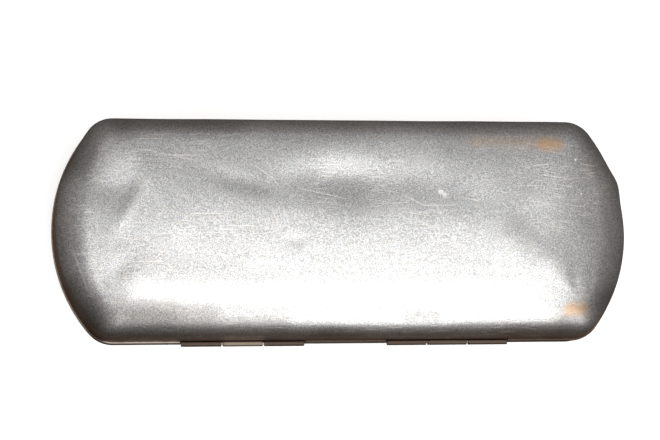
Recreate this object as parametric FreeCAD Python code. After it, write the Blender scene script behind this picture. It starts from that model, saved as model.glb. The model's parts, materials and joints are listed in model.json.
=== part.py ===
"""Pocket telescope carry case: two pressed aluminium shells joined by rolled-tab hinges, with a fitted bed inside.

Frame, in millimetres: X runs along the case, +Y points away from the hinges, +Z is up. The origin is the centre
of the flat panel that the closed case rests on.
"""

import FreeCAD
import Part
import math
import os

Vector = FreeCAD.Vector
X_AXIS = Vector(1, 0, 0)
Y_AXIS = Vector(0, 1, 0)
Z_AXIS = Vector(0, 0, 1)

# What the case carries
telescope_diameter = 24.0
telescope_length = 138.0

# Plan outline of the pressed shells, measured outside the sheet at the rim
end_margin = 13.5
case_length = telescope_length + 2 * end_margin
case_width = 63.5
end_radius = 46.0
corner_radius = 9.0

# Pressing
sheet = 0.5
draft_deg = 4.0
wall_height = 6.0
end_roll = 13.0
side_roll = 9.0
panel_end_radius = 60.0
panel_corner_radius = 6.0
lid_crown = 1.5
lip_reach = 0.4
loft_degree = 3
parting_gap = 0.2

# Fitted bed in the base
fit_gap = 0.15
bed_board_thickness = 0.8
bed_velvet_thickness = 1.0
bed_set_back = 1.4
trough_clearance = 0.5
trough_end_clearance = 0.75
rail_foot_gap = 6.0
finger_radius = 9.0
finger_offset = 2.0
finger_lift = 2.0

# Padded lining in the lid
lid_card_thickness = 0.5
lid_wadding_thickness = 1.2
lid_velvet_thickness = 0.8
lid_headroom = 1.0
lid_lining_set_back = 4.8

# Rolled-tab hinges
pin_radius = 0.4
pin_clearance = 0.04
tab_width = 11.35
tab_gap = 0.4
tabs_per_hinge = 3
hinge_inner_x = 11.9
curl_sweep_deg = 290.0
tab_root = 1.5
notch_clearance = 0.35
pin_end_inset = 0.15
relief = 0.3

# Snap strip and its rivets
strip_half_length = 35.0
strip_thickness = 0.4
strip_foot = 6.5
strip_rise = 4.2
strip_bend_below_rim = 0.6
lid_strip_clearance = 0.3
nib_x = 22.0
nib_above_rim = 2.8
nib_radius = 1.3
nib_reach = 0.3
dimple_clearance = 0.4
rivet_pitch = 26.0
rivet_below_rim = 4.0
rivet_shank_radius = 0.8
rivet_hole_clearance = 0.05
rivet_head_radius = 1.7
rivet_head_height = 0.5
rivet_tail_radius = 1.3
rivet_tail_height = 0.4
pocket_clearance = 0.35

# Worked out from the values above
draft = math.tan(math.radians(draft_deg))
half_length = case_length / 2
half_width = case_width / 2
trough_radius = telescope_diameter / 2 + trough_clearance
trough_half_length = telescope_length / 2 + trough_end_clearance
bed_stack = sheet + fit_gap + bed_board_thickness + fit_gap + bed_velvet_thickness
axis_z = bed_stack + trough_radius
base_depth = axis_z - parting_gap / 2
lid_rim_z = axis_z + parting_gap / 2
lid_lining_stack = lid_card_thickness + lid_wadding_thickness + lid_velvet_thickness + 3 * fit_gap
lid_depth = telescope_diameter / 2 + lid_headroom + lid_lining_stack + sheet + parting_gap / 2
bore_radius = pin_radius + pin_clearance
curl_radius = bore_radius + sheet
axis_y = -half_width - bore_radius
hinge_length = tabs_per_hinge * tab_width + (tabs_per_hinge - 1) * tab_gap
far = 4 * case_length


def block(x, y, z):
    """Box from its low and high limits along each axis."""
    corner = Vector(x[0], y[0], z[0])
    return Part.makeBox(x[1] - x[0], y[1] - y[0], z[1] - z[0], corner)


def rod(radius, start, end):
    """Round bar between two points."""
    along = end - start
    return Part.makeCylinder(radius, along.Length, start, along)


# Pressed forms ----------------------------------------------------------------------------------


def outline(a, b, end_r, corner_r, z):
    """Plan outline at height z: bowed ends of end_r, straight sides, tangent corners of corner_r."""
    end_x = a - end_r
    corner_y = b - corner_r
    corner_x = end_x + math.sqrt((end_r - corner_r) ** 2 - corner_y**2)
    turn = math.degrees(math.atan2(corner_y, corner_x - end_x))

    def arc(x, y, radius, start, end):
        circle = Part.Circle(Vector(x, y, z), Z_AXIS, radius)
        return Part.Arc(circle, math.radians(start), math.radians(end)).toShape()

    def side(x0, x1, y):
        return Part.LineSegment(Vector(x0, y, z), Vector(x1, y, z)).toShape()

    return Part.Wire(
        [
            arc(end_x, 0, end_r, -turn, turn),
            arc(corner_x, corner_y, corner_r, turn, 90),
            side(corner_x, -corner_x, b),
            arc(-corner_x, corner_y, corner_r, 90, 180 - turn),
            arc(-end_x, 0, end_r, 180 - turn, 180 + turn),
            arc(-corner_x, -corner_y, corner_r, 180 + turn, 270),
            side(-corner_x, corner_x, -b),
            arc(corner_x, -corner_y, corner_r, 270, 360 - turn),
        ]
    )


def rim_outline(grow, z):
    """Outline of the rim, grown outwards by grow."""
    return outline(
        half_length + grow, half_width + grow, end_radius + grow, corner_radius + grow, z
    )


def pressed_form(depth, crown, inset):
    """Solid inside one pressed dish, its open rim at z 0 and its panel on top, drawn in by inset all over."""
    panel_z = depth - crown
    roll_height = panel_z - wall_height - inset
    steps_deg = (0, 15, 30, 45, 60, 72, 84) if crown else (0, 15, 30, 45, 60, 75, 90)

    def wall(z):
        return rim_outline(-inset - z * draft, z)

    def roll_sizes(angle):
        turned = 1 - math.cos(angle)
        drawn = inset + wall_height * draft
        return (
            half_length - drawn - (end_roll - inset) * turned,
            half_width - drawn - (side_roll - inset) * turned,
            (end_radius - drawn) * (1 - turned) + panel_end_radius * turned,
            (corner_radius - drawn) * (1 - turned) + panel_corner_radius * turned,
        )

    def roll_z(angle):
        return wall_height + roll_height * math.sin(angle)

    skirt = Part.makeLoft([wall(0), wall(wall_height)], True, True)
    angles = [math.radians(step) for step in steps_deg]
    rings = [outline(*roll_sizes(angle), roll_z(angle)) for angle in angles]
    if crown:
        a, b, end_r, corner_r = roll_sizes(angles[-1])
        ridge = a - b
        rise = depth - inset - roll_z(angles[-1])
        for share in (0.88, 0.75, 0.6, 0.45, 0.3, 0.15, 0.05):
            z = roll_z(angles[-1]) + rise * (1 - share**2)
            sizes = (ridge + (a - ridge) * share, b * share, end_r * share, corner_r * share)
            rings.append(outline(*sizes, z))
    return skirt.fuse(Part.makeLoft(rings, True, False, False, loft_degree))


def in_base(shape):
    """Turns a form over, so that its rim is the base's rim and its panel the base's floor."""
    turned = shape.copy()
    turned.rotate(Vector(0, 0, 0), X_AXIS, 180)
    turned.translate(Vector(0, 0, base_depth))
    return turned


def in_lid(shape):
    """Stands a form on the lid's rim."""
    raised = shape.copy()
    raised.translate(Vector(0, 0, lid_rim_z))
    return raised


def base_form(inset):
    return in_base(pressed_form(base_depth, 0, inset))


def lid_form(inset):
    return in_lid(pressed_form(lid_depth, lid_crown, inset))


def open_rim(inset):
    """Prism that carries a dish's hollow out past its rim, so that a cut leaves the rim open."""
    return Part.Face(rim_outline(-inset, -1)).extrude(Vector(0, 0, 1))


# Rolled-tab hinges ------------------------------------------------------------------------------


def tab_spans(side):
    """(start, end, owner) of each tab of the hinge on side -1 or +1; the lid owns the outer tabs."""
    spans = []
    for number in range(tabs_per_hinge):
        start = hinge_inner_x + number * (tab_width + tab_gap)
        ends = sorted((side * start, side * (start + tab_width)))
        spans.append((*ends, "base" if number % 2 else "lid"))
    return spans


def tabs_of(owner):
    return [span[:2] for side in (-1, 1) for span in tab_spans(side) if span[2] == owner]


def curled_tab(x0, x1, owner):
    """One tab of the sheet, carried past its rim and rolled outwards round the pin."""
    up = 1 if owner == "lid" else -1
    centre = Vector(x0, axis_y, axis_z)
    start = -curl_sweep_deg if owner == "lid" else 0
    radii = []
    for radius in (bore_radius, curl_radius):
        circle = Part.Circle(centre, X_AXIS, radius)
        turn = (math.radians(start), math.radians(start + curl_sweep_deg))
        radii.append(Part.Arc(circle, *turn).toShape())
    inner, outer = radii
    ends = [
        Part.makeLine(inner.valueAt(place), outer.valueAt(place))
        for place in (inner.FirstParameter, inner.LastParameter)
    ]
    section = Part.Face(Part.Wire([inner, ends[1], outer, ends[0]]))
    curl = section.extrude(Vector(x1 - x0, 0, 0))
    rise = up * tab_root
    web = block((x0, x1), (-half_width, -half_width + sheet), sorted((axis_z, axis_z + rise)))
    return curl.fuse(web)


def tab_notch(x0, x1, owner):
    """Opening in the other shell's wall that owner's tab stands in."""
    reach = curl_radius + notch_clearance
    heights = (axis_z - reach, axis_z) if owner == "lid" else (axis_z, axis_z + reach)
    return block(
        (x0 - tab_gap, x1 + tab_gap), (-half_width - lip_reach, -half_width + 3 * sheet), heights
    )


def hinge_relief(side, z):
    """Room along one hinge, where the rim has no lip, between the heights z."""
    start = side * (hinge_inner_x - relief)
    end = side * (hinge_inner_x + hinge_length + relief)
    return block(sorted((start, end)), (-half_width - 2 * lip_reach, -half_width), z)


def hinge_pin(side):
    """Wire pin through one hinge's three tabs."""
    start = side * (hinge_inner_x + pin_end_inset)
    end = side * (hinge_inner_x + hinge_length - pin_end_inset)
    return rod(pin_radius, Vector(start, axis_y, axis_z), Vector(end, axis_y, axis_z))


def dish(form, place, owner, rim_zone):
    """Shell from form, with its lip, its own tabs and the notches for the other shell's tabs."""
    other = "lid" if owner == "base" else "base"
    flange = Part.Face(rim_outline(lip_reach, 0)).cut(Part.Face(rim_outline(-sheet / 2, 0)))
    lip = place(flange.extrude(Vector(0, 0, sheet)))
    shell = form(0).fuse(lip).cut(form(sheet)).cut(place(open_rim(sheet)))
    for side in (-1, 1):
        shell = shell.cut(hinge_relief(side, rim_zone))
    for span in tabs_of(other):
        shell = shell.cut(tab_notch(*span, other))
    for span in tabs_of(owner):
        shell = shell.fuse(curled_tab(*span, owner))
    return shell


# Snap strip -------------------------------------------------------------------------------------


def strip_profile():
    """Section of the strip as (y, z) points: up the base's wall, then bent in to pass inside the lid's."""
    wall_y = half_width - sheet - fit_gap / 2
    foot_z = base_depth - strip_foot
    bend_z = base_depth - strip_bend_below_rim
    top_z = lid_rim_z + strip_rise
    foot_y = wall_y - strip_foot * draft
    bend_y = wall_y - strip_bend_below_rim * draft
    top_y = half_width - sheet - lid_strip_clearance - strip_rise * draft
    outer = [(foot_y, foot_z), (bend_y, bend_z), (top_y, top_z)]
    inner = [(y - strip_thickness, z) for y, z in reversed(outer)]
    return outer + inner


def strip_y(z):
    """Outer face of the strip at height z above the bend."""
    bend, top = strip_profile()[1:3]
    return bend[0] + (top[0] - bend[0]) * (z - bend[1]) / (top[1] - bend[1])


def nib_height():
    return lid_rim_z + nib_above_rim


def nib_ball(x, radius, reach):
    """Ball of the given radius that stands reach out of the strip's outer face."""
    z = nib_height()
    return Part.makeSphere(radius, Vector(x, strip_y(z) + reach - radius, z))


def dimple_tools(x):
    """Ball that hollows the lid's front wall over one nib, and the ball that swells it outside."""
    hollow = nib_ball(x, nib_radius + dimple_clearance, nib_reach + dimple_clearance)
    swell = nib_ball(x, nib_radius + dimple_clearance + sheet, nib_reach + dimple_clearance + sheet)
    wall_y = half_width - sheet - nib_above_rim * draft
    outside = block((-far, far), (wall_y, far), (-far, far))
    return hollow, swell.common(outside)


def rivet_places():
    return [-rivet_pitch, 0, rivet_pitch]


def on_front_wall(x, shape):
    """Places a shape drawn about the origin, with its outer side along +Y, on the base's front wall."""
    placed = shape.copy()
    placed.rotate(Vector(0, 0, 0), X_AXIS, -draft_deg)
    wall_y = half_width - rivet_below_rim * draft
    placed.translate(Vector(x, wall_y, base_depth - rivet_below_rim))
    return placed


def rivet(x):
    """Round-headed rivet, its tail upset on the strip inside the wall."""
    ball_radius = (rivet_head_radius**2 + rivet_head_height**2) / (2 * rivet_head_height)
    ball = Part.makeSphere(ball_radius, Vector(0, rivet_head_height - ball_radius, 0))
    head = ball.common(block((-far, far), (0, far), (-far, far)))
    grip = sheet + fit_gap / 2 + strip_thickness
    shank = rod(rivet_shank_radius, Vector(0, 0, 0), Vector(0, -grip, 0))
    tail = rod(rivet_tail_radius, Vector(0, -grip, 0), Vector(0, -grip - rivet_tail_height, 0))
    return on_front_wall(x, head.fuse(shank).fuse(tail))


def rivet_hole(x):
    radius = rivet_shank_radius + rivet_hole_clearance
    return on_front_wall(x, rod(radius, Vector(0, 2 * sheet, 0), Vector(0, -3 * sheet, 0)))


def snap_strip():
    points = [Vector(-strip_half_length, y, z) for y, z in strip_profile()]
    section = Part.Face(Part.makePolygon(points + points[:1]))
    strip = section.extrude(Vector(2 * strip_half_length, 0, 0))
    inner_side = block((-far, far), (-far, strip_y(nib_height()) - strip_thickness / 2), (-far, far))
    for x in (-nib_x, nib_x):
        strip = strip.fuse(nib_ball(x, nib_radius, nib_reach).cut(inner_side))
    for x in rivet_places():
        strip = strip.cut(rivet_hole(x))
    return strip


def strip_pocket():
    """Room along the front wall that the bed leaves for the strip and the rivets' tails."""
    start_y = half_width - sheet - fit_gap - strip_foot * draft - strip_thickness
    start_y -= rivet_tail_height + pocket_clearance
    reach_x = strip_half_length + pocket_clearance
    bottom_z = base_depth - strip_foot - pocket_clearance
    return block((-reach_x, reach_x), (start_y, far), (bottom_z, far))


# Shells -----------------------------------------------------------------------------------------


def base_shell():
    shell = dish(base_form, in_base, "base", (base_depth - 2 * sheet, base_depth + parting_gap))
    for x in rivet_places():
        shell = shell.cut(rivet_hole(x))
    return shell


def lid_shell():
    shell = dish(lid_form, in_lid, "lid", (lid_rim_z - parting_gap, lid_rim_z + 2 * sheet))
    for x in (-nib_x, nib_x):
        hollow, swell = dimple_tools(x)
        shell = shell.fuse(swell).cut(hollow)
    return shell


# Fitted bed in the base -------------------------------------------------------------------------

bed_inset = sheet + fit_gap
board_top_z = bed_inset + bed_board_thickness
bed_top_z = base_depth - bed_set_back
rail_top_z = bed_top_z - bed_velvet_thickness - fit_gap
velvet_radius = trough_radius + bed_velvet_thickness
velvet_half_length = trough_half_length + bed_velvet_thickness


def trough(grow):
    """Round trough for the telescope with its finger hollows, grown by grow all over."""
    reach = trough_half_length + grow
    radius = trough_radius + grow
    shape = rod(radius, Vector(-reach, 0, axis_z), Vector(reach, 0, axis_z))
    for side in (-1, 1):
        centre = Vector(0, side * (trough_radius + finger_offset), bed_top_z + finger_lift)
        shape = shape.fuse(Part.makeSphere(finger_radius + grow, centre))
    return shape


def bed_space(low_z, high_z):
    """Part of the base's hollow between two heights, clear of the snap strip."""
    slab = block((-far, far), (-far, far), (low_z, high_z))
    return base_form(bed_inset).common(slab).cut(strip_pocket())


def bed_board():
    return bed_space(bed_inset, board_top_z)


def bed_wood():
    """All the wood under the velvet, before it is parted into rails and end blocks."""
    return bed_space(board_top_z + fit_gap, rail_top_z).cut(trough(bed_velvet_thickness + fit_gap))


def bed_rail(side):
    """Long rail beside the trough: side -1 is next to the hinges, +1 next to the snap strip."""
    reach = velvet_half_length
    across = sorted((side * rail_foot_gap / 2, side * far))
    return bed_wood().common(block((-reach, reach), across, (-far, far)))


def bed_end_block(side):
    """Block between the trough's end and the bowed end of the case."""
    along = sorted((side * (velvet_half_length + fit_gap), side * far))
    return bed_wood().common(block(along, (-far, far), (-far, far)))


def bed_velvet():
    """Velvet over the rails and end blocks and down through the trough, as one sewn skin."""
    skin = bed_space(rail_top_z + fit_gap, bed_top_z)
    below_top = block((-far, far), (-far, far), (-far, bed_top_z))
    lining = trough(bed_velvet_thickness).common(below_top)
    return skin.fuse(lining).cut(trough(0))


# Padded lining in the lid -----------------------------------------------------------------------


def lid_layer(inset, thickness):
    """Layer that follows the lid's inner face, from the lining's set-back edge upwards."""
    layer = lid_form(inset).cut(lid_form(inset + thickness))
    edge_z = lid_rim_z + lid_lining_set_back
    return layer.common(block((-far, far), (-far, far), (edge_z, far)))


lid_card_inset = sheet + fit_gap
lid_wadding_inset = lid_card_inset + lid_card_thickness + fit_gap
lid_velvet_inset = lid_wadding_inset + lid_wadding_thickness + fit_gap


def parts():
    """Every node of the case and its solids."""
    return {
        "base_shell": [base_shell()],
        "lid_shell": [lid_shell()],
        "hinge_pin_left": [hinge_pin(-1)],
        "hinge_pin_right": [hinge_pin(1)],
        "snap_strip": [snap_strip()],
        "snap_strip_rivets": [rivet(x) for x in rivet_places()],
        "bed_board": [bed_board()],
        "bed_rail_near": [bed_rail(-1)],
        "bed_rail_far": [bed_rail(1)],
        "bed_end_block_left": [bed_end_block(-1)],
        "bed_end_block_right": [bed_end_block(1)],
        "bed_velvet": [bed_velvet()],
        "lid_lining_card": [lid_layer(lid_card_inset, lid_card_thickness)],
        "lid_lining_wadding": [lid_layer(lid_wadding_inset, lid_wadding_thickness)],
        "lid_lining_velvet": [lid_layer(lid_velvet_inset, lid_velvet_thickness)],
    }


def main():
    os.makedirs("parts", exist_ok=True)
    for name, shapes in parts().items():
        solids = [solid for shape in shapes for solid in shape.Solids]
        made = solids[0] if len(solids) == 1 else Part.makeCompound(solids)
        made.exportStep(f"parts/{name}.step")
        volume = sum(solid.Volume for solid in solids)
        print(name, len(solids), "solid(s)", round(volume, 1), "mm3", "valid", made.isValid())


main()
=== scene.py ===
"""Telescope carry case: the looks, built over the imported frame. Metres, +Z up, origin under the case."""

import json
import math

import bmesh
import bpy
import numpy as np
from mathutils import Matrix, Vector, noise


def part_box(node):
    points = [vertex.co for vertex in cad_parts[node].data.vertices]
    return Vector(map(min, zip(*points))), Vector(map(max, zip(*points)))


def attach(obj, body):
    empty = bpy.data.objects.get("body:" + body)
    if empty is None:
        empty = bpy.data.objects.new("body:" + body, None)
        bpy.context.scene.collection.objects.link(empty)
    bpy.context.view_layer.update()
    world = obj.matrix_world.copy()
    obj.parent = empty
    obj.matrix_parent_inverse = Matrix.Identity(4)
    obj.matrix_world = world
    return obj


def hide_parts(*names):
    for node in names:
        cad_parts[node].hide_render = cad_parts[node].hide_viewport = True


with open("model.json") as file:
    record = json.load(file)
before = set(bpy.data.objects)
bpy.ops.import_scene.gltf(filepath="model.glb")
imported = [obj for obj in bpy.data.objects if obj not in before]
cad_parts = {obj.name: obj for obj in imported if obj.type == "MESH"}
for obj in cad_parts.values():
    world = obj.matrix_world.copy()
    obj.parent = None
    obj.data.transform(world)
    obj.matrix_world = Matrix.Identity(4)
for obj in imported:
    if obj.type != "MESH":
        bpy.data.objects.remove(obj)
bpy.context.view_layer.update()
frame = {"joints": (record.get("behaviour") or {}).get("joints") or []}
mm = 0.001


# Camera, floor and light ------------------------------------------------------------------------
# The case lies on a plain pale floor, and a long lens looks down at it from over the hinge side. Three
# soft lights hang on that side: two beside the lens and one low down. The rest of the room is dim, its
# front brighter than its side walls, and it goes to dark brown towards the floor.

axis_z = frame["joints"][0]["pos_m"][2]
lean_left, lean_near = math.radians(8.2), math.radians(13.0)
towards_lens = Vector((-math.tan(lean_left), -math.tan(lean_near), 1)).normalized()
across = (Vector((1, 0, 0)) - towards_lens.x * towards_lens).normalized()
upwards = towards_lens.cross(across)
lens_distance = 0.576

lens = bpy.data.cameras.new("lens")
lens.sensor_width = 36
lens.lens = 109.1
lens.shift_x, lens.shift_y = -0.0182, 0.0182
lens.clip_start = 0.01
camera = bpy.data.objects.new("camera", lens)
bpy.context.scene.collection.objects.link(camera)
place = Vector((0, 0, axis_z)) + lens_distance * towards_lens
camera.matrix_world = Matrix.Translation(place) @ Matrix(
    (across, upwards, towards_lens)
).transposed().to_4x4()
bpy.context.scene.camera = camera
bpy.context.scene.view_settings.view_transform = "Standard"


def soft_light(name, near, right, wide, tall, brightness, colour):
    """Soft rectangle near and right degrees off overhead, facing the case and wide by tall degrees."""
    reach = 1.2
    side, back = math.radians(right), math.radians(near)
    aim = Vector((math.tan(side), -math.tan(back), 1)).normalized()
    light = bpy.data.lights.new(name, "AREA")
    light.shape = "RECTANGLE"
    light.size = 2 * reach * math.tan(math.radians(wide / 2))
    light.size_y = 2 * reach * math.tan(math.radians(tall / 2))
    light.energy = brightness * math.pi * light.size * light.size_y
    light.color = colour
    holder = bpy.data.objects.new(name, light)
    along = (Vector((1, 0, 0)) - aim.x * aim).normalized()
    holder.matrix_world = Matrix.Translation(reach * aim) @ Matrix(
        (along, aim.cross(along), aim)
    ).transposed().to_4x4()
    bpy.context.scene.collection.objects.link(holder)


soft_light("key", 12, 5, 46, 46, 1.1, (1.0, 0.99, 0.97))
soft_light("low key", 58, 27, 48, 46, 1.7, (1.0, 0.99, 0.97))
soft_light("surround", 22, 3, 78, 78, 0.55, (1.0, 0.99, 0.98))


class Signal:
    """A shader socket. Sums on it add Math nodes, and node() adds any other node."""

    def __init__(self, tree, socket=None):
        self.tree = tree
        self.socket = socket

    def node(self, kind, settings=(), inputs=(), output=0):
        made = self.tree.nodes.new("ShaderNode" + kind)
        for name, value in dict(settings).items():
            if name == "stops":
                ramp = made.color_ramp.elements
                while len(ramp) < len(value):
                    ramp.new(0.5)
                for stop, (position, colour) in zip(ramp, value):
                    stop.position, stop.color = position, colour
            else:
                setattr(made, name, value)
        for name, value in dict(inputs).items():
            if isinstance(value, Signal):
                self.tree.links.new(value.socket, made.inputs[name])
            else:
                made.inputs[name].default_value = value
        return Signal(self.tree, made.outputs[output] if made.outputs else None)

    def sum(self, operation, *values):
        return self.node("Math", {"operation": operation}, dict(enumerate(values)))

    def __add__(self, other):
        return self.sum("ADD", self, other)

    def __sub__(self, other):
        return self.sum("SUBTRACT", self, other)

    def __rsub__(self, other):
        return self.sum("SUBTRACT", other, self)

    def __mul__(self, other):
        return self.sum("MULTIPLY", self, other)

    __radd__, __rmul__ = __add__, __mul__

    def between(self, low, high, start=0.0, end=1.0):
        """Eases from start to end as this value goes from low to high."""
        return self.node(
            "MapRange",
            {"interpolation_type": "SMOOTHSTEP"},
            {"Value": self, "From Min": low, "From Max": high, "To Min": start, "To Max": end},
        )

    def most(self, other):
        return self.sum("MAXIMUM", self, other)

    def tint(self, low, high, blend="MIX"):
        """Colour that goes from low to high, or to their product, as this value goes from 0 to 1."""
        inputs = {"Factor": self, 6: low, 7: high}
        return self.node("Mix", {"data_type": "RGBA", "blend_type": blend}, inputs, output=2)


def material(name):
    """Empty node material and the signal that adds its nodes."""
    made = bpy.data.materials.new(name)
    made.use_nodes = True
    made.node_tree.nodes.clear()
    return made, Signal(made.node_tree)


def surface(start, settings):
    """Principled surface with these sockets, as the material's output."""
    shader = start.node("BsdfPrincipled", {}, settings)
    start.node("OutputMaterial", {}, {"Surface": shader})


world = bpy.data.worlds.new("room")
world.use_nodes = True
world.node_tree.nodes.clear()
start = Signal(world.node_tree)
towards = start.node("TexCoord")
height = start.node("SeparateXYZ", {}, {"Vector": towards}, "Z")
depth = start.node("SeparateXYZ", {}, {"Vector": towards}, "Y")
# The sides brighten in steps from the dark brown low down to a pale grey overhead.
under = (0.055, 0.034, 0.021, 1)
walls = height.node(
    "ValToRGB",
    {
        "stops": (
            (0.09, under),
            (0.25, (0.15, 0.14, 0.13, 1)),
            (0.40, (0.14, 0.128, 0.12, 1)),
            (0.65, (0.262, 0.242, 0.23, 1)),
            (0.80, (0.31, 0.29, 0.278, 1)),
            (0.95, (0.54, 0.535, 0.53, 1)),
        )
    },
    {"Fac": height * 0.5 + 0.5},
)
# The front of the room, on the hinge side, goes evenly from that brown to a mid grey overhead.
front = height.between(-0.92, 0.9).tint(under, (0.46, 0.455, 0.45, 1))
room = depth.between(-0.2, -0.9).tint(walls, front)
start.node("OutputWorld", {}, {"Surface": start.node("Background", {}, {"Color": room})})
bpy.context.scene.world = world


floor_look, start = material("floor")
paper = start.node("BsdfDiffuse", {}, {"Color": (0.80, 0.80, 0.80, 1)})
glow = start.node("Emission", {}, {"Color": (1, 1, 1, 1), "Strength": 0.55})
start.node("OutputMaterial", {}, {"Surface": start.node("AddShader", {}, {0: paper, 1: glow})})
bpy.ops.mesh.primitive_plane_add(size=60)
floor = bpy.context.object
floor.name = "floor"
floor.data.materials.append(floor_look)
floor.visible_glossy = False


# Base shell -------------------------------------------------------------------------------------
# A shallow dish pressed from half-millimetre aluminium. Its rim is turned outwards as a narrow lip,
# and one tab of each hinge is rolled straight out of the same sheet.

sheet = 0.5 * mm
parting = 0.2 * mm
lip_reach = 0.4 * mm
lip_fillet = 0.15 * mm
bore = 0.44 * mm
roller = bore + sheet
curl_sweep = math.radians(290)
draft = math.tan(math.radians(4))
wall_height = 6 * mm
end_roll, side_roll = 13 * mm, 9 * mm
end_radius, corner_radius = 46 * mm, 9 * mm
panel_end_radius, panel_corner_radius = 60 * mm, 6 * mm
half_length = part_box("base_shell")[1].x - lip_reach
half_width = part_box("base_shell")[1].y - lip_reach
tab_width, tab_gap, hinge_start, lip_relief = 11.35 * mm, 0.4 * mm, 11.9 * mm, 0.3 * mm
nib_x, nib_height = 22 * mm, 2.8 * mm
notch_height = roller + 0.35 * mm - parting / 2
hinge_end = hinge_start + 3 * tab_width + 2 * tab_gap


def hinge_spans(owner):
    """(start, end, kind) of each stretch of the near rim that isn't lip, for the base or the lid."""
    pitch = tab_width + tab_gap
    spans = []
    for side in (-1, 1):
        if owner == "lid":
            spans.append((hinge_start - lip_relief, hinge_start, "plain", side))
            spans.append((hinge_end, hinge_end + lip_relief, "plain", side))
        for number in range(3):
            start = hinge_start + number * pitch
            own = (owner == "base") == (number == 1)
            spread = 0 if own else tab_gap
            span = [start - spread, start + tab_width + spread]
            spans.append((*span, "tab" if own else "notch", side))
    return [(*sorted((side * a, side * b)), kind) for a, b, kind, side in spans]


def outline(a, b, end_r, corner_r, stations):
    """Plan outline as points in order from the near left: bowed ends, straight sides, round corners."""
    end_x = a - end_r
    corner_y = b - corner_r
    corner_x = end_x + math.sqrt((end_r - corner_r) ** 2 - corner_y**2)
    turn = math.atan2(corner_y, corner_x - end_x)
    reach = stations[-1]
    outer = [reach + (corner_x - reach) * share for share in np.linspace(0, 1, 7)[1:]]
    side = [-x for x in reversed(outer)] + list(stations) + outer

    def arc(x, y, radius, first, last, count):
        angles = np.linspace(first, last, count + 1)[1:]
        return [(x + radius * math.cos(t), y + radius * math.sin(t)) for t in angles]

    right = arc(corner_x, -corner_y, corner_r, -math.pi / 2, -turn, 12)
    right += arc(end_x, 0, end_r, -turn, turn, 36)
    right += arc(corner_x, corner_y, corner_r, turn, math.pi / 2, 12)
    near = [(x, -b) for x in side]
    far = [(x, b) for x in reversed(side)][1:]
    left = [(-x, -y) for x, y in right]
    return np.array(near + right + far + left[:-1])


def dish_rows(depth, crown, stations, inset=0.0, low=1.6 * mm):
    """Rows (points, height) up the dish's outer face, or a face inset from it, to the middle of its panel."""
    rows = []
    for height in np.linspace(low, wall_height, 9):
        drawn = inset + height * draft
        sizes = (half_length - drawn, half_width - drawn, end_radius - drawn, corner_radius - drawn)
        rows.append((outline(*sizes, stations), height))
    panel = depth - crown - inset
    last = 84 if crown else 90
    for angle in np.radians(np.linspace(0, last, 19)[1:]):
        turned = 1 - math.cos(angle)
        sizes = (
            half_length - drawn - (end_roll - inset) * turned,
            half_width - drawn - (side_roll - inset) * turned,
            (end_radius - drawn) * (1 - turned) + panel_end_radius * turned,
            (corner_radius - drawn) * (1 - turned) + panel_corner_radius * turned,
        )
        height = wall_height + (panel - wall_height) * math.sin(angle)
        rows.append((outline(*sizes, stations), height))
    shoulder, height = rows[-1]
    ridge = sizes[0] - sizes[1]
    spine = np.stack([np.clip(shoulder[:, 0], -ridge, ridge), 0 * shoulder[:, 1]], 1)
    for share in np.linspace(1, 0, 23)[1:]:
        rise = (depth - inset - height) * (1 - share**2)
        rows.append((spine + (shoulder - spine) * share, height + rise))
    return rows


def rim_profile(kind):
    """(outward reach, height) of the outer face from the lowest shared row down to the sheet's edge."""
    heights = [1.6 * mm, notch_height]
    if kind == "notch":
        return [(-h * draft, h) for h in heights]
    heights += [sheet + lip_fillet]
    wall = [(-h * draft, h) for h in heights]
    if kind == "lip":
        centre = (lip_fillet - heights[-1] * draft, sheet + lip_fillet)
        for angle in np.radians((30, 60, 90)):
            wall.append(
                (
                    centre[0] - lip_fillet * math.cos(angle),
                    centre[1] - lip_fillet * math.sin(angle),
                )
            )
        return wall + [(lip_reach, sheet)]
    wall += [(-h * draft, h) for h in (0.35 * mm, 0.0)]
    if kind == "tab":
        for angle in np.linspace(0, curl_sweep, 23):
            wall.append((bore - bore * math.cos(angle), -parting / 2 - bore * math.sin(angle)))
    return wall


crown_row = 24
smoothing_passes = 40


def ease_crown(mesh, above):
    """Softens the crowned panel's height, so that no fold line runs to its corners."""
    panel = [vertex for vertex in mesh.verts if vertex.co.z > above]
    for _ in range(smoothing_passes):
        bmesh.ops.smooth_vert(mesh, verts=panel, factor=0.5, use_axis_z=True)


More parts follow.
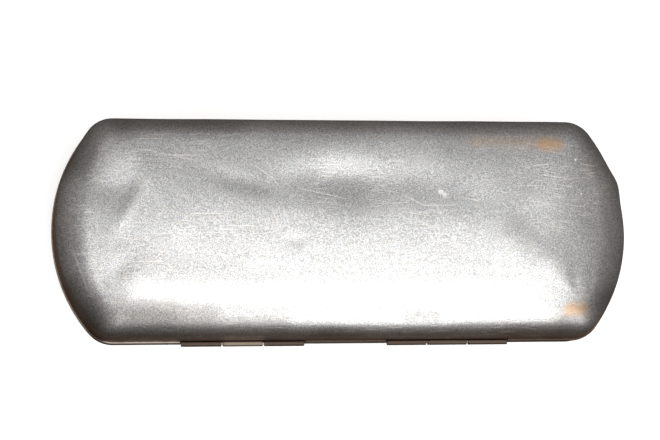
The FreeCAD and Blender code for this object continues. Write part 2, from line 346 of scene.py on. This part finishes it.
def dish(name, owner, depth, crown):
    """Sheet-metal dish with its lip, its own rolled tabs and the notches for the other dish's tabs."""
    spans = hinge_spans(owner)
    edges = {round(x, 6) for span in spans for x in span[:2]}
    if owner == "lid":
        beside_nib = np.arange(-2.4, 2.5, 0.6) * mm
        edges |= {round(side * nib_x + x, 6) for side in (-1, 1) for x in beside_nib}
    stations = sorted(edges | {round(x, 6) for x in np.arange(-50, 50.1, 1.25) * mm})
    stations = [x for x in stations if x in edges or all(abs(x - e) > 0.4 * mm for e in edges)]
    rows = dish_rows(depth, crown, stations)
    count = len(rows[0][0])
    rim = outline(half_length, half_width, end_radius, corner_radius, stations)
    grown = outline(half_length + mm, half_width + mm, end_radius + mm, corner_radius + mm, stations)
    outward = (grown - rim) / mm
    up = 1 if owner == "lid" else -1
    rim_z = axis_z + up * parting / 2

    def kind_at(x, y):
        if y > -half_width + 0.01 * mm:
            return "lip"
        return next((kind for a, b, kind in spans if a < x < b), "lip")

    mesh = bmesh.new()

    def quad(*corners):
        made = [mesh.verts.new((x, y, rim_z + up * h)) for x, y, h in corners]
        mesh.faces.new(made if up > 0 else made[::-1])

    for i in range(count):
        j = (i + 1) % count
        middle = (rim[i] + rim[j]) / 2
        profile = rim_profile(kind_at(*middle))
        for (g0, h0), (g1, h1) in zip(profile, profile[1:]):
            low = [(*(rim[k] + outward[k] * g1), h1) for k in (i, j)]
            high = [(*(rim[k] + outward[k] * g0), h0) for k in (j, i)]
            quad(*low, *high)
        for (p0, h0), (p1, h1) in zip(rows, rows[1:]):
            quad((*p0[i], h0), (*p0[j], h0), (*p1[j], h1), (*p1[i], h1))
    bmesh.ops.remove_doubles(mesh, verts=mesh.verts, dist=0.002 * mm)
    bmesh.ops.dissolve_degenerate(mesh, dist=0.001 * mm, edges=mesh.edges)
    if crown:
        ease_crown(mesh, rim_z + rows[crown_row][1])
    made = bpy.data.meshes.new(name)
    mesh.to_mesh(made)
    mesh.free()
    return bpy.data.objects.new(name, made)


def gauge(shell, thickness, even=True):
    """Gives the outer face its thickness inwards, breaks its cut edges and shades it smooth."""
    bpy.context.scene.collection.objects.link(shell)
    solid = shell.modifiers.new("sheet", "SOLIDIFY")
    solid.thickness = thickness
    solid.offset = -1
    solid.use_even_offset = even
    edge = shell.modifiers.new("broken edges", "BEVEL")
    edge.width = 0.1 * mm
    edge.segments = 2
    edge.limit_method = "ANGLE"
    edge.angle_limit = math.radians(50)
    made = bpy.data.meshes.new_from_object(shell.evaluated_get(bpy.context.evaluated_depsgraph_get()))
    shell.modifiers.clear()
    shell.data = made
    made.shade_smooth()


class Aluminium:
    """Bare pressed aluminium, dulled by handling, with a painted brown reflection on its walls near the rim
    and a painted shadow along the hinge-side rim.
    """

    def __init__(self, name):
        self.look, start = material(name)
        self.start = start
        self.where = start.node("TexCoord", {}, {}, "Object")
        self.plan = start.node("VectorMath", {"operation": "MULTIPLY"}, {0: self.where, 1: (1, 1, 0)})
        grain = self.texture(3300, 1)
        pits = self.texture(900, 3)
        cloud = self.texture(45, 4)
        self.ragged = self.texture(420, 3) - 0.5
        mottle = (grain * 0.7 + pits * 0.15 + cloud * 0.15).between(0.38, 0.62)
        warmth = self.texture(2100, 1).between(0.3, 0.7)
        dull = warmth.tint((0.375, 0.395, 0.42, 1), (0.41, 0.395, 0.375, 1))
        bright = warmth.tint((0.73, 0.75, 0.775, 1), (0.77, 0.75, 0.73, 1))
        self.tone = mottle.tint(dull, bright)
        self.rough = cloud.between(0.3, 0.7, 0.31, 0.38)
        self.height = grain * 0.5 + pits * 0.4
        rubbed = self.texture(34, 2).between(0.42, 0.60)
        for turn, stretch, bar in (
            (1, 34, 0.64),
            (-9, 26, 0.66),
            (9, 26, 0.68),
            (33, 30, 0.71),
            (-52, 30, 0.72),
        ):
            lines = self.hairlines(turn, stretch, bar)
            self.mark(lines * rubbed * 0.6, (0.90, 0.87, 0.82, 1), 0.42, -0.5)
        rim = self.start.node("SeparateXYZ", {}, {"Vector": self.where}, "Z") - axis_z
        rim = rim.sum("ABSOLUTE", rim)
        self.rim = rim
        # Painted reflection: the walls within a few millimetres of the rim are tinted brown, standing in for
        # a dark brown surround reflected in them.
        painted_brown_reflection = (rim + self.ragged * 0.002).between(0.0075, 0.0012, 0, 0.8)
        self.shade(painted_brown_reflection, (0.46, 0.26, 0.16, 1), 0.42)
        # Painted shadow: a dark band along the rim on the hinge side only.
        across = self.start.node("SeparateXYZ", {}, {"Vector": self.where}, "Y")
        painted_rim_shadow = rim.between(0.0019, 0.0011) * across.between(-0.027, -0.031, 0.3, 0.92)
        self.mark(painted_rim_shadow, (0.070, 0.052, 0.042, 1), 0.55, 0)

    def texture(self, scale, detail):
        inputs = {"Vector": self.where, "Scale": float(scale), "Detail": float(detail)}
        return self.start.node("TexNoise", {}, inputs)

    def hairlines(self, turn, stretch, bar):
        """Fine, short scratches that run turn degrees off the length."""
        angles = (0, 0, math.radians(-turn))
        along = self.start.node("Mapping", {}, {"Vector": self.where, "Rotation": angles})
        along = self.start.node("Mapping", {}, {"Vector": along, "Scale": (stretch * 3.0, 2200.0, 700.0)})
        line = self.start.node("TexNoise", {}, {"Vector": along, "Scale": 1.0, "Detail": 1.0})
        return line.between(bar, bar + 0.05)

    def spot(self, x, y, size, edge=0.6):
        """One inside a ragged spot on the plan, none outside."""
        place = (x * mm, y * mm, 0)
        away = self.start.node("VectorMath", {"operation": "DISTANCE"}, {0: self.plan, 1: place}, "Value")
        away = away + self.ragged * (size * mm)
        return away.between(size * mm, size * mm * (1 - edge))

    def stroke(self, x0, y0, x1, y1, width):
        """One on a straight stroke on the plan, none off it."""
        first = Vector((x0 * mm, y0 * mm, 0))
        run = Vector((x1 * mm, y1 * mm, 0)) - first
        off = self.start.node("VectorMath", {"operation": "SUBTRACT"}, {0: self.plan, 1: tuple(first)})
        share = self.start.node(
            "VectorMath", {"operation": "DOT_PRODUCT"}, {0: off, 1: tuple(run / run.length_squared)}, "Value"
        )
        share = self.start.node("Clamp", {}, {"Value": share})
        along = self.start.node("VectorMath", {"operation": "SCALE"}, {0: tuple(run), "Scale": share})
        away = self.start.node("VectorMath", {"operation": "DISTANCE"}, {0: off, 1: along}, "Value")
        return (away + self.ragged * (min(width, 0.8) * mm)).between(width * mm, 0)

    def mark(self, mask, colour, rough, height):
        """Lays a mark over the metal with its own colour, roughness and height."""
        self.tone = mask.tint(self.tone, colour)
        self.rough = self.rough + mask * (rough - self.rough)
        if height:
            self.height = self.height + mask * height

    def shade(self, mask, colour, rough):
        """Multiplies the metal's tone under the mask, so that its grain still shows; used for painted
        reflection, light and shade.
        """
        self.tone = mask.tint(self.tone, colour, "MULTIPLY")
        self.rough = self.rough + mask * (rough - self.rough)

    def finish(self):
        bump = self.start.node("Bump", {}, {"Strength": 0.5, "Distance": 0.00008, "Height": self.height})
        settings = {"Base Color": self.tone, "Metallic": 1.0, "Roughness": self.rough, "Normal": bump}
        surface(self.start, settings)
        return self.look


base = dish("base_case", "base", axis_z - parting / 2, 0)
gauge(base, sheet)
metal = Aluminium("worn base aluminium with painted shade")
wall_inside_y, wall_outside_y = -28.5 * mm, -31 * mm
across = metal.start.node("SeparateXYZ", {}, {"Vector": metal.where}, "Y")
along = metal.start.node("SeparateXYZ", {}, {"Vector": metal.where}, "X")
near = across.between(-half_width, -half_width - 0.3 * mm)
hinged = along.sum("ABSOLUTE", along).between(hinge_end + 0.5 * mm, hinge_end)
right_side = along.between(-5 * mm, 5 * mm, 0, 0.85)
# Painted shade on the hinge side: a dark brown wall as painted reflection of the dark room below, a nearly
# black lip as painted shadow, dull brown tabs that are partly painted shade, and the right hinge darker as
# painted shadow.
metal.mark(across.between(wall_inside_y, wall_outside_y, 0, 0.3), (0.055, 0.036, 0.025, 1), 0.5, 0)
metal.mark(near, (0.022, 0.014, 0.010, 1), 0.6, 0)
metal.mark(near * hinged, (0.22, 0.18, 0.145, 1), 0.5, 0.3)
metal.mark(near * hinged * right_side, (0.075, 0.056, 0.045, 1), 0.55, 0)
base.data.materials.append(metal.finish())
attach(base, "base")
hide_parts("base_shell")


# Snap strip and its rivets ----------------------------------------------------------------------
# Spring brass strip with two pressed nibs. Three round-headed aluminium rivets hold it inside the
# front wall, and its nibs click into the dimples of the lid.

brass, start = material("spring_brass")
where = start.node("TexCoord", {}, {}, "Object")
drawn = start.node("Mapping", {}, {"Vector": where, "Scale": (60.0, 1500.0, 5200.0)})
rolled = start.node("TexNoise", {}, {"Vector": drawn, "Scale": 1.0, "Detail": 3.0})
stain = start.node("TexNoise", {}, {"Vector": where, "Scale": 130.0, "Detail": 4.0})
clean = rolled.tint((0.70, 0.50, 0.23, 1), (0.82, 0.62, 0.32, 1))
surface(
    start,
    {
        "Base Color": stain.between(0.48, 0.72, 0, 0.8).tint(clean, (0.34, 0.22, 0.11, 1)),
        "Metallic": 1.0,
        "Roughness": stain.between(0.35, 0.7, 0.24, 0.46),
        "Normal": start.node("Bump", {}, {"Strength": 0.3, "Distance": 0.00003, "Height": rolled}),
    },
)

rivet_metal, start = material("rivet_aluminium")
where = start.node("TexCoord", {}, {}, "Object")
fine = start.node("TexNoise", {}, {"Vector": where, "Scale": 2600.0, "Detail": 3.0})
struck = start.node("TexVoronoi", {}, {"Vector": where, "Scale": 1100.0})
surface(
    start,
    {
        "Base Color": fine.between(0.35, 0.65).tint((0.46, 0.455, 0.45, 1), (0.76, 0.755, 0.75, 1)),
        "Metallic": 1.0,
        "Roughness": fine.between(0.3, 0.7, 0.30, 0.44),
        "Normal": start.node("Bump", {}, {"Strength": 0.35, "Distance": 0.00008, "Height": struck + fine}),
    },
)


def dress(node, look):
    """Puts a finished material on a node of the frame."""
    piece = bpy.data.objects[node]
    for slot in piece.material_slots:
        slot.material = look


dress("snap_strip", brass)
dress("snap_strip_rivets", rivet_metal)


# Bed board --------------------------------------------------------------------------------------
# Grey-brown pasteboard, cut to the inside of the base and glued down as the floor of the bed.

board, start = material("pasteboard")
where = start.node("TexCoord", {}, {}, "Object")
laid = {"Vector": where, "Scale": (500.0, 1500.0, 1500.0), "Rotation": (0, 0, 0.3)}
fibre = start.node("Mapping", {}, laid)
fibre = start.node("TexNoise", {}, {"Vector": fibre, "Scale": 1.0, "Detail": 5.0})
fleck = start.node("TexNoise", {}, {"Vector": where, "Scale": 900.0, "Detail": 2.0})
pulp = fibre.between(0.3, 0.7).tint((0.27, 0.20, 0.14, 1), (0.44, 0.35, 0.26, 1))
surface(
    start,
    {
        "Base Color": fleck.between(0.66, 0.72).tint(pulp, (0.12, 0.09, 0.07, 1)),
        "Roughness": fibre.between(0.3, 0.7, 0.82, 0.95),
        "Normal": start.node("Bump", {}, {"Strength": 0.5, "Distance": 0.0001, "Height": fibre}),
    },
)
dress("bed_board", board)


# Bed rails and end blocks -----------------------------------------------------------------------
# Plain sawn softwood with the grain along the case. Two rails are hollowed for the telescope and
# glued to the board, and a block closes each end.

wood, start = material("softwood")
where = start.node("TexCoord", {}, {}, "Object")
grain = start.node("Mapping", {}, {"Vector": where, "Scale": (9.0, 210.0, 330.0)})
wander = start.node("TexNoise", {}, {"Vector": grain, "Scale": 1.0, "Detail": 2.0})
ring = start.node("TexWave", {"bands_direction": "Z"}, {"Vector": grain, "Scale": 0.55, "Distortion": 5.0})
pore = start.node("Mapping", {}, {"Vector": where, "Scale": (120.0, 2600.0, 2600.0)})
pore = start.node("TexNoise", {}, {"Vector": pore, "Scale": 1.0, "Detail": 4.0})
growth = (ring * 0.6 + wander * 0.4).between(0.25, 0.8)
saw = start.node("TexWave", {"bands_direction": "X"}, {"Vector": where, "Scale": 260.0, "Distortion": 1.5})
pale = growth.tint((0.64, 0.45, 0.26, 1), (0.42, 0.25, 0.12, 1))
surface(
    start,
    {
        "Base Color": pore.between(0.55, 0.7).tint(pale, (0.30, 0.17, 0.08, 1)),
        "Roughness": pore.between(0.3, 0.7, 0.62, 0.85),
        "Normal": start.node(
            "Bump", {}, {"Strength": 0.4, "Distance": 0.00012, "Height": pore + saw * 0.4 - growth * 0.4}
        ),
    },
)
bed_wood = ("bed_rail_near", "bed_rail_far", "bed_end_block_left", "bed_end_block_right")
for node in bed_wood:
    dress(node, wood)


# Bed velvet -------------------------------------------------------------------------------------
# Dark wine velvet, sewn to the shape of the bed and glued over the wood and down through the trough.
# Its pile is rubbed where the telescope lies and along the edges that fingers touch.


def velvet(name, rubbed):
    """Short-pile velvet. rubbed(start, where) is one where the pile is worn down."""
    look, start = material(name)
    where = start.node("TexCoord", {}, {}, "Object")
    pile = start.node("TexNoise", {}, {"Vector": where, "Scale": 3400.0, "Detail": 2.0})
    tuft = start.node("TexVoronoi", {}, {"Vector": where, "Scale": 2400.0})
    nap = start.node("TexNoise", {}, {"Vector": where, "Scale": 90.0, "Detail": 3.0})
    dust = start.node("TexNoise", {}, {"Vector": where, "Scale": 1300.0, "Detail": 4.0})
    lie = (nap * 0.35 + pile * 0.65).between(0.30, 0.70)
    deep = lie.tint((0.085, 0.010, 0.022, 1), (0.17, 0.020, 0.040, 1))
    bare = rubbed(start, where) * nap.between(0.2, 0.75)
    worn = (bare * 0.55).tint(deep, (0.26, 0.085, 0.085, 1))
    surface(
        start,
        {
            "Base Color": dust.between(0.68, 0.76, 0, 0.3).tint(worn, (0.45, 0.38, 0.34, 1)),
            "Roughness": nap.between(0.3, 0.7, 0.85, 0.98),
            "Sheen Weight": 0.35,
            "Sheen Roughness": 0.4,
            "Sheen Tint": (0.75, 0.42, 0.45, 1),
            "Specular IOR Level": 0.15,
            "Normal": start.node(
                "Bump", {}, {"Strength": 0.8, "Distance": 0.00025, "Height": pile + tuft * 0.6 + nap * 0.4}
            ),
        },
    )
    return look


trough_radius, trough_half_length = 12.5 * mm, 69.75 * mm


def worn_trough(start, where):
    height = start.node("SeparateXYZ", {}, {"Vector": where}, "Z")
    across = start.node("SeparateXYZ", {}, {"Vector": where}, "Y")
    bottom = height.between(0.006, 0.002)
    across = across.sum("ABSOLUTE", across)
    along = start.node("SeparateXYZ", {}, {"Vector": where}, "X")
    inside = along.sum("ABSOLUTE", along).between(trough_half_length + 1 * mm, trough_half_length - 4 * mm)
    return bottom.most(across.between(0.0100, 0.0124) * across.between(0.0150, 0.0128) * inside)


bed_skin = bpy.data.objects.new("bed_velvet_skin", bpy.data.objects["bed_velvet"].data.copy())
bpy.context.scene.collection.objects.link(bed_skin)


def baked(piece):
    """Gives the piece its modified shape as its own mesh."""
    piece.data = bpy.data.meshes.new_from_object(piece.evaluated_get(bpy.context.evaluated_depsgraph_get()))
    piece.modifiers.clear()


def puffed(piece, pressure, slack, loose, limit):
    """Cloth simulation with the points that aren't loose held still, and no point moved past limit."""
    before = np.array([vertex.co for vertex in piece.data.vertices])
    held = piece.vertex_groups.new(name="held")
    held.add([int(i) for i in np.flatnonzero(~loose)], 1.0, "REPLACE")
    cloth = piece.modifiers.new("cloth", "CLOTH")
    cloth.settings.effector_weights.gravity = 0
    cloth.settings.use_pressure = True
    cloth.settings.uniform_pressure_force = pressure
    cloth.settings.shrink_min = -slack
    cloth.settings.vertex_group_mass = "held"
    cloth.settings.quality = 5
    cloth.collision_settings.use_collision = False
    for step in range(1, 13):
        bpy.context.scene.frame_set(step)
    shape = piece.evaluated_get(bpy.context.evaluated_depsgraph_get()).data
    moved = np.array([vertex.co for vertex in shape.vertices]) - before
    piece.modifiers.clear()
    piece.vertex_groups.clear()
    bpy.context.scene.frame_set(1)
    length = np.maximum(np.linalg.norm(moved, axis=1), 1e-9)
    after = before + moved * (limit * np.tanh(length / limit) / length)[:, None]
    for vertex, place in zip(piece.data.vertices, after):
        vertex.co = place


remesh = bed_skin.modifiers.new("remesh", "REMESH")
remesh.mode = "VOXEL"
remesh.voxel_size = 0.7 * mm
baked(bed_skin)
points = np.array([vertex.co for vertex in bed_skin.data.vertices])
facing = np.array([vertex.normal for vertex in bed_skin.data.vertices])
from_axis = np.hypot(points[:, 1], points[:, 2] - axis_z)
in_trough = (from_axis < trough_radius + 0.3 * mm) & (np.abs(points[:, 0]) < trough_half_length + 0.3 * mm)
puffed(bed_skin, 3.0, 0.02, in_trough | (facing[:, 2] > 0.5), 0.3 * mm)
soften = bed_skin.modifiers.new("soften", "SMOOTH")
soften.factor, soften.iterations = 0.5, 3
baked(bed_skin)
bed_skin.data.shade_smooth()
bed_skin.data.materials.clear()
bed_skin.data.materials.append(velvet("bed velvet", worn_trough))
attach(bed_skin, "base")
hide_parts("bed_velvet")


# Hinge pins -------------------------------------------------------------------------------------
# Lengths of drawn steel wire, pushed through the rolled tabs and nipped at the ends. They have
# darkened, with a little rust.

wire, start = material("pin_steel")
where = start.node("TexCoord", {}, {}, "Object")
drawn = start.node("Mapping", {}, {"Vector": where, "Scale": (90.0, 7000.0, 7000.0)})
drawn = start.node("TexNoise", {}, {"Vector": drawn, "Scale": 1.0, "Detail": 2.0})
rust = start.node("TexNoise", {}, {"Vector": where, "Scale": 1300.0, "Detail": 5.0})
surface(
    start,
    {
        "Base Color": rust.between(0.52, 0.66).tint(
            drawn.tint((0.30, 0.29, 0.28, 1), (0.55, 0.54, 0.52, 1)), (0.20, 0.09, 0.04, 1)
        ),
        "Metallic": rust.between(0.55, 0.68, 1.0, 0.35),
        "Roughness": rust.between(0.45, 0.7, 0.28, 0.75),
        "Normal": start.node("Bump", {}, {"Strength": 0.4, "Distance": 0.00003, "Height": drawn + rust}),
    },
)
dress("hinge_pin_left", wire)
dress("hinge_pin_right", wire)


# Lid shell --------------------------------------------------------------------------------------
# The same pressing as the base, a little deeper and gently crowned.

lid_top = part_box("lid_shell")[1].z
lid_rim = axis_z + parting / 2
lid_depth, lid_crown = lid_top - lid_rim, 1.5 * mm


sag_start, sag_length, sag_share = 56, 26, 0.24


def sagged(points):
    """Points in mm with their heights over the rim pressed down more and more towards the right end."""
    share = np.clip((points[:, 0] - sag_start) / sag_length, 0, 1) ** 2
    points[:, 2] -= sag_share * share * (points[:, 2] - axis_z / mm)
    return points


def knock(shell, dents, swells):
    """Presses dents in and swells out, in mm.

    A dent is (x, y, half length, half width, turn, depth) and a swell is (x, y, z, radius, height).
    """
    data = shell.data
    points = np.array([vertex.co for vertex in data.vertices]) / mm
    facing = np.array([vertex.normal for vertex in data.vertices])
    push = np.zeros(len(points))
    for x, y, along, wide, turn, depth in dents:
        c, s = math.cos(math.radians(turn)), math.sin(math.radians(turn))
        dx, dy = points[:, 0] - x, points[:, 1] - y
        push += depth * np.exp(-(((dx * c + dy * s) / along) ** 2) - ((dy * c - dx * s) / wide) ** 2)
    push += [0.11 * noise.noise(Vector((x * 0.055, y * 0.085, 3.0))) for x, y, z in points]
    push *= np.clip((np.abs(points[:, 2] - axis_z / mm) - 2) / 4, 0, 1)
    for x, y, z, radius, height in swells:
        push -= height * np.exp(-(np.linalg.norm(points - (x, y, z), axis=1) / radius) ** 2)
    points = sagged(points - facing * push[:, None])
    for vertex, place in zip(data.vertices, points * mm):
        vertex.co = place


lid_dents = (
    (-4, 12.5, 15, 5.8, 0, 0.7),
    (14, 11.5, 26, 7.5, 0, 0.5),
    (47, -9, 9, 8, 0, -0.35),
    (-45, -13, 14, 6, 0, 0.15),
    (-58, -21, 14, 7, 0, -0.28),
    (-32, 11.5, 9, 2.6, -17, 0.2),
    (-65, 9, 6, 5.5, 0, 0.5),
    (-61.3, 3.8, 7.5, 1.6, 62, -0.24),
    (-71, -22, 8, 8, 0, 1.1),
    (-74, 14, 7, 9, 0, 0.75),
    (-63.8, -13.3, 3, 2.4, 0, 0.22),
    (-24.7, -15, 5, 2, 10, 0.16),
    (-15.5, -6.2, 2.2, 1.6, 0, 0.20),
    (7.6, -19.4, 2.5, 1.6, 0, 0.06),
    (20, -25.5, 6, 3, 0, 0.22),
    (60, -20.2, 3.5, 1.5, -45, 0.14),
    (64, -17.5, 1.4, 4, 0, 0.12),
    (-79.5, 12.5, 4, 4, 0, -0.45),
    (79.5, 12.5, 4, 4, 0, -0.9),
    (10, -30, 30, 3.2, 0, -0.4),
)
lid = dish("lid_case", "lid", lid_depth, lid_crown)
dimples = [(side * nib_x / mm, half_width / mm, (lid_rim + nib_height) / mm, 1.15, 0.46) for side in (-1, 1)]
knock(lid, lid_dents, dimples)
gauge(lid, sheet)
metal = Aluminium("worn lid aluminium with painted light and shade")
# Bright nicks, then bright scratches.
for x, y, size in (
    (26.3, 7.8, 1.0),
    (27.3, 7.0, 0.9),
    (25.9, 1.7, 0.5),
    (66.3, 17.9, 0.5),
    (67.4, 7.8, 0.4),
    (-63.5, -2, 0.6),
):
    metal.mark(metal.spot(x, y, size), (0.93, 0.92, 0.90, 1), 0.55, -0.6)
for stroke in (
    (16, 6.6, 21.6, 3.8, 0.30),
    (21.6, 3.8, 30, 4.0, 0.25),
    (34.3, 5.8, 37.1, 5.2, 0.3),
    (-26.1, 15.3, -20.5, 11, 0.3),
    (-13.5, 8.7, -0.8, 5.8, 0.25),
    (-44.4, 1.4, -36, 1.4, 0.3),
    (-36, 24, -30.3, 24.9, 0.3),
    (-76.7, -8.7, -73, -18.8, 0.5),
):
    metal.mark(metal.stroke(*stroke) * 0.5, (0.88, 0.88, 0.86, 1), 0.45, -0.6)
# Amber marks at the right end and along the far edge: painted orange reflections.
for x0, y0, x1, y1, width, share in (
    (37, 23.3, 58, 22.6, 3.0, 0.25),
    (57, 22.3, 61, 22.3, 3.6, 0.6),
    (62, -25.7, 66, -25.4, 3.0, 0.6),
):
    metal.mark(metal.stroke(x0, y0, x1, y1, width) * share, (0.86, 0.53, 0.28, 1), 0.34, 0)
# A band across the panel brightened as painted light, and a paler band along the hinge side as a painted
# highlight.
metal.shade(metal.stroke(-16, 12, 38, 9, 10) * 0.8, (1.25, 1.25, 1.25, 1), 0.35)
metal.mark(metal.stroke(-58, -20.5, 50, -21.5, 6.5) * 0.35, (0.80, 0.80, 0.80, 1), 0.35, 0)
# Grey patches towards the corners and along the walls: painted shade where the rolled edges fall darker.
for x0, y0, x1, y1, width, share in (
    (-70, -27, -52, -28.5, 9, 0.45),
    (-64, -26, -40, -27, 6, 0.4),
    (-60, -26.5, -20, -28.5, 5.5, 0.4),
    (-76, -18, -70, -27, 6, 0.6),
    (16, -27.5, 24, -27.5, 3, 0.35),
    (-76, 16, -65, 25, 10, 0.5),
    (-62, 27, -32, 27.5, 6, 0.4),
    (-66, -10, -34, -13, 9, 0.14),
    (48, -3, 53, -9, 7, 0.3),
    (59, -8, 65, -18, 7, 0.25),
    (61, -28, 77, -21, 6.5, 0.6),
    (71, 26, 79, 12, 8, 0.4),
):
    metal.shade(metal.stroke(x0, y0, x1, y1, width) * share, (0.35, 0.33, 0.31, 1), 0.42)
# The lip left of the hinges painted lighter than the painted shadow beside it, as a painted highlight where
# it catches the light.
lit_lip_paint = metal.stroke(-72, -32.1, -47, -32.1, 0.8) * metal.rim.between(0.0011, 0.0007)
metal.mark(lit_lip_paint, (0.34, 0.29, 0.25, 1), 0.4, 0)
lid.data.materials.append(metal.finish())
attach(lid, "lid")
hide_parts("lid_shell")


# Lid lining card --------------------------------------------------------------------------------
# Thin pasteboard, damped and pressed to the inside of the lid, that carries the padding.

gap = 0.15 * mm
lining_edge = 4.8 * mm
card_thickness, wadding_thickness, velvet_thickness = 0.5 * mm, 1.2 * mm, 0.8 * mm
plain_stations = [round(x, 6) for x in np.arange(-50, 50.1, 2.5) * mm]


def lid_skin(name, inset):
    """Open skin that follows the lid and its dents, inset from its outer face, from the lining's edge up."""
    rows = dish_rows(lid_depth, lid_crown, plain_stations, inset, lining_edge)
    mesh = bmesh.new()
    rings = [[mesh.verts.new((x, y, lid_rim + height)) for x, y in points] for points, height in rows]
    for low, high in zip(rings, rings[1:]):
        for i in range(len(low)):
            mesh.faces.new([low[i - 1], low[i], high[i], high[i - 1]])
    bmesh.ops.remove_doubles(mesh, verts=mesh.verts, dist=0.002 * mm)
    bmesh.ops.dissolve_degenerate(mesh, dist=0.001 * mm, edges=mesh.edges)
    ease_crown(mesh, lid_rim + rows[crown_row][1])
    made = bpy.data.meshes.new(name)
    mesh.to_mesh(made)
    mesh.free()
    skin = bpy.data.objects.new(name, made)
    knock(skin, lid_dents, ())
    return skin


def fit_lid(piece, look, node):
    """Hangs a lining piece in the lid in place of its node."""
    piece.data.materials.append(look)
    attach(piece, "lid")
    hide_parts(node)


card = lid_skin("lid_card", sheet + gap)
gauge(card, card_thickness)
fit_lid(card, board, "lid_lining_card")


# Lid wadding ------------------------------------------------------------------------------------
# Loose off-white cotton wadding between the card and the velvet. Only its edge shows.

wadding = lid_skin("lid_wadding", sheet + 2 * gap + card_thickness)
gauge(wadding, wadding_thickness)
cotton, start = material("cotton wadding")
where = start.node("TexCoord", {}, {}, "Object")
tangle = start.node("TexNoise", {}, {"Vector": where, "Scale": 900.0, "Detail": 6.0, "Distortion": 1.5})
clump = start.node("TexVoronoi", {}, {"Vector": where, "Scale": 420.0})
surface(
    start,
    {
        "Base Color": (tangle * 0.7 + clump * 0.3).between(0.25, 0.7).tint(
            (0.52, 0.47, 0.38, 1), (0.80, 0.76, 0.67, 1)
        ),
        "Roughness": tangle.between(0.3, 0.7, 0.88, 1.0),
        "Sheen Weight": 0.3,
        "Normal": start.node(
            "Bump", {}, {"Strength": 0.9, "Distance": 0.0004, "Height": tangle + clump * 0.5}
        ),
    },
)
fit_lid(wadding, cotton, "lid_lining_wadding")


# Lid velvet -------------------------------------------------------------------------------------
# The same wine velvet, stretched over the wadding and glued down round its edge, so that it stands
# up softly between its edges and puckers a little beside them.


def worn_edge(start, where):
    height = start.node("SeparateXYZ", {}, {"Vector": where}, "Z")
    return height.between(lid_rim + lining_edge + 1.5 * mm, lid_rim + lining_edge)


lid_velvet = lid_skin("lid_velvet", sheet + 3 * gap + card_thickness + wadding_thickness)
bpy.context.scene.collection.objects.link(lid_velvet)
heights = np.array([vertex.co.z for vertex in lid_velvet.data.vertices])
puffed(lid_velvet, -3.0, 0.03, heights > lid_rim + lining_edge + 0.8 * mm, 0.35 * mm)
bpy.context.scene.collection.objects.unlink(lid_velvet)
soften = lid_velvet.modifiers.new("soften", "SMOOTH")
soften.factor, soften.iterations = 0.5, 2
gauge(lid_velvet, velvet_thickness, even=False)
fit_lid(lid_velvet, velvet("lid velvet", worn_edge), "lid_lining_velvet")
